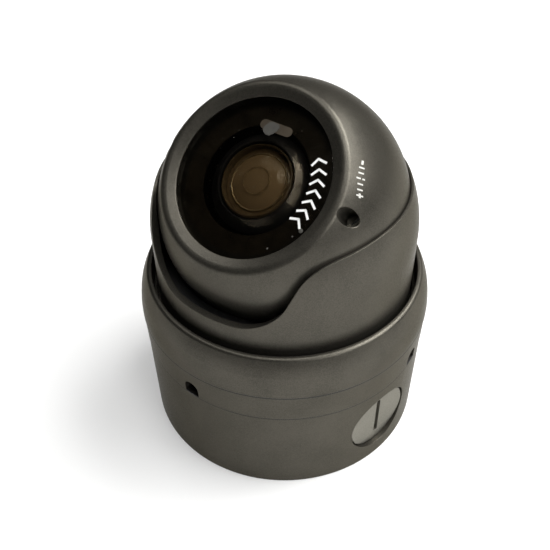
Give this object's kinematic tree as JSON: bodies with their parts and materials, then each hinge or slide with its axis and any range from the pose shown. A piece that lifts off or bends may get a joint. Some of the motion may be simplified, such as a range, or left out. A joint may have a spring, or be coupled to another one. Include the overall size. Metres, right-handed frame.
{
  "type": "dome cctv camera",
  "caption": "Turret-style dome security camera: ball housing with a round window in a swivelling cup, on a deep round junction box with a side conduit plug.",
  "frame": {"origin": "centre of the junction box's flat mounting face", "axes": "+Z away from the mounting surface towards the ball; -Y is where the lens is aimed at rest; +X to the right of the lens"},
  "size_m": [0.114, 0.114, 0.1409],
  "materials": {
    "cast_housing": "die-cast, sprayed with satin gunmetal paint",
    "seal_rubber": "moulded, matte",
    "screw_steel": "zinc plated",
    "chromed_steel": "plated, polished",
    "bearing_plastic": "cut from natural acetal",
    "black_plastic": "moulded, fine matte texture",
    "lens_barrel_black": "turned, black anodised",
    "smoked_glass": "polished, dark",
    "clear_film": "thin peelable plastic film, glossy",
    "coated_lens": "polished, coated",
    "filter_glass": "polished, infrared-blocking",
    "circuit_board": "solder mask",
    "led_resin": "cast epoxy",
    "sensor_resin": "cast epoxy",
    "sensor_chip": "glass-lidded package",
    "plate_aluminium": "stamped",
    "post_brass": "turned, nickel-free",
    "gear_plastic": "moulded acetal",
    "connector_nylon": "moulded nylon"
  },
  "bodies": {
    "base": {"junction_box": "cast_housing", "conduit_plug": "cast_housing", "conduit_plug_seal": "seal_rubber", "box_gasket": "seal_rubber", "mount_base": "cast_housing", "mount_base_screws": "screw_steel", "cable_grommet": "seal_rubber", "lower_slip_ring": "bearing_plastic", "upper_slip_ring": "bearing_plastic", "trim_ring": "cast_housing", "trim_lock_screw": "screw_steel"},
    "gimbal_cup": {"cup": "cast_housing", "wave_spring": "screw_steel", "ball_support_ring": "black_plastic"},
    "ball": {"ball_front_shell": "cast_housing", "ball_rear_shell": "cast_housing", "ball_seal": "seal_rubber", "ball_screws": "screw_steel", "ball_cable_grommet": "seal_rubber", "window_glass": "smoked_glass", "window_gasket": "seal_rubber", "window_retaining_ring": "black_plastic", "protective_film": "clear_film", "led_board": "circuit_board", "ir_leds": "led_resin", "light_sensor": "sensor_resin", "led_board_posts": "post_brass", "lens_hood": "black_plastic", "lens_barrel": "lens_barrel_black", "front_lens": "coated_lens", "inner_lens_cell": "lens_barrel_black", "inner_lens": "coated_lens", "chassis_plate": "plate_aluminium", "chassis_screws": "screw_steel", "idler_pins": "screw_steel", "adjuster_bushes": "bearing_plastic", "adjuster_seals": "seal_rubber", "lens_mount": "black_plastic", "ir_cut_actuator": "black_plastic", "image_sensor": "sensor_chip", "sensor_board": "circuit_board", "main_board": "circuit_board", "board_posts": "post_brass", "board_screws": "screw_steel", "cable_connector": "connector_nylon"},
    "focus_adjuster": {"focus_adjuster": "chromed_steel"},
    "focus_idler": {"focus_idler": "gear_plastic"},
    "focus_ring": {"focus_ring": "gear_plastic"},
    "zoom_adjuster": {"zoom_adjuster": "chromed_steel"},
    "zoom_idler": {"zoom_idler": "gear_plastic"},
    "zoom_ring": {"zoom_ring": "gear_plastic"},
    "ir_cut_filter": {"ir_cut_filter": "filter_glass"}
  },
  "joints": [
    {"name": "pan", "type": "hinge", "parent": "base", "child": "gimbal_cup", "pos_m": [0, 0, 0.053], "axis": [0, 0, 1], "range_deg": [-175, 175]},
    {"name": "tilt", "type": "hinge", "parent": "gimbal_cup", "child": "ball", "pos_m": [0, 0, 0.0953], "axis": [1, 0, 0], "range_deg": [-39.1, 25.9]},
    {"name": "focus_adjust", "type": "hinge", "parent": "ball", "child": "focus_adjuster", "pos_m": [0.0364, 0, 0.0953], "axis": [0, -0.6307, 0.776], "range_deg": [-180, 180]},
    {"name": "focus_idler_turn", "type": "hinge", "parent": "ball", "child": "focus_idler", "pos_m": [0.02326, 0, 0.0953], "axis": [0, -0.6307, 0.776], "range_deg": [-113, 113]},
    {"name": "focus_ring_turn", "type": "hinge", "parent": "ball", "child": "focus_ring", "pos_m": [0, 0, 0.0953], "axis": [0, -0.6307, 0.776], "range_deg": [-60.5, 60.5]},
    {"name": "zoom_adjust", "type": "hinge", "parent": "ball", "child": "zoom_adjuster", "pos_m": [-0.0364, 0, 0.0953], "axis": [0, -0.6307, 0.776], "range_deg": [-180, 180]},
    {"name": "zoom_idler_turn", "type": "hinge", "parent": "ball", "child": "zoom_idler", "pos_m": [-0.02326, 0, 0.0953], "axis": [0, -0.6307, 0.776], "range_deg": [-113, 113]},
    {"name": "zoom_ring_turn", "type": "hinge", "parent": "ball", "child": "zoom_ring", "pos_m": [0, 0, 0.0953], "axis": [0, -0.6307, 0.776], "range_deg": [-60.5, 60.5]},
    {"name": "ir_cut_slide", "type": "slide", "parent": "ball", "child": "ir_cut_filter", "axis": [1, 0, 0], "range_m": [0, 0.0065]}
  ],
  "couplings": [
    {"joint": "focus_idler_turn", "follows": "focus_adjust", "ratio": -0.625},
    {"joint": "focus_ring_turn", "follows": "focus_adjust", "ratio": 0.33333},
    {"joint": "zoom_idler_turn", "follows": "zoom_adjust", "ratio": -0.625},
    {"joint": "zoom_ring_turn", "follows": "zoom_adjust", "ratio": 0.33333}
  ]
}
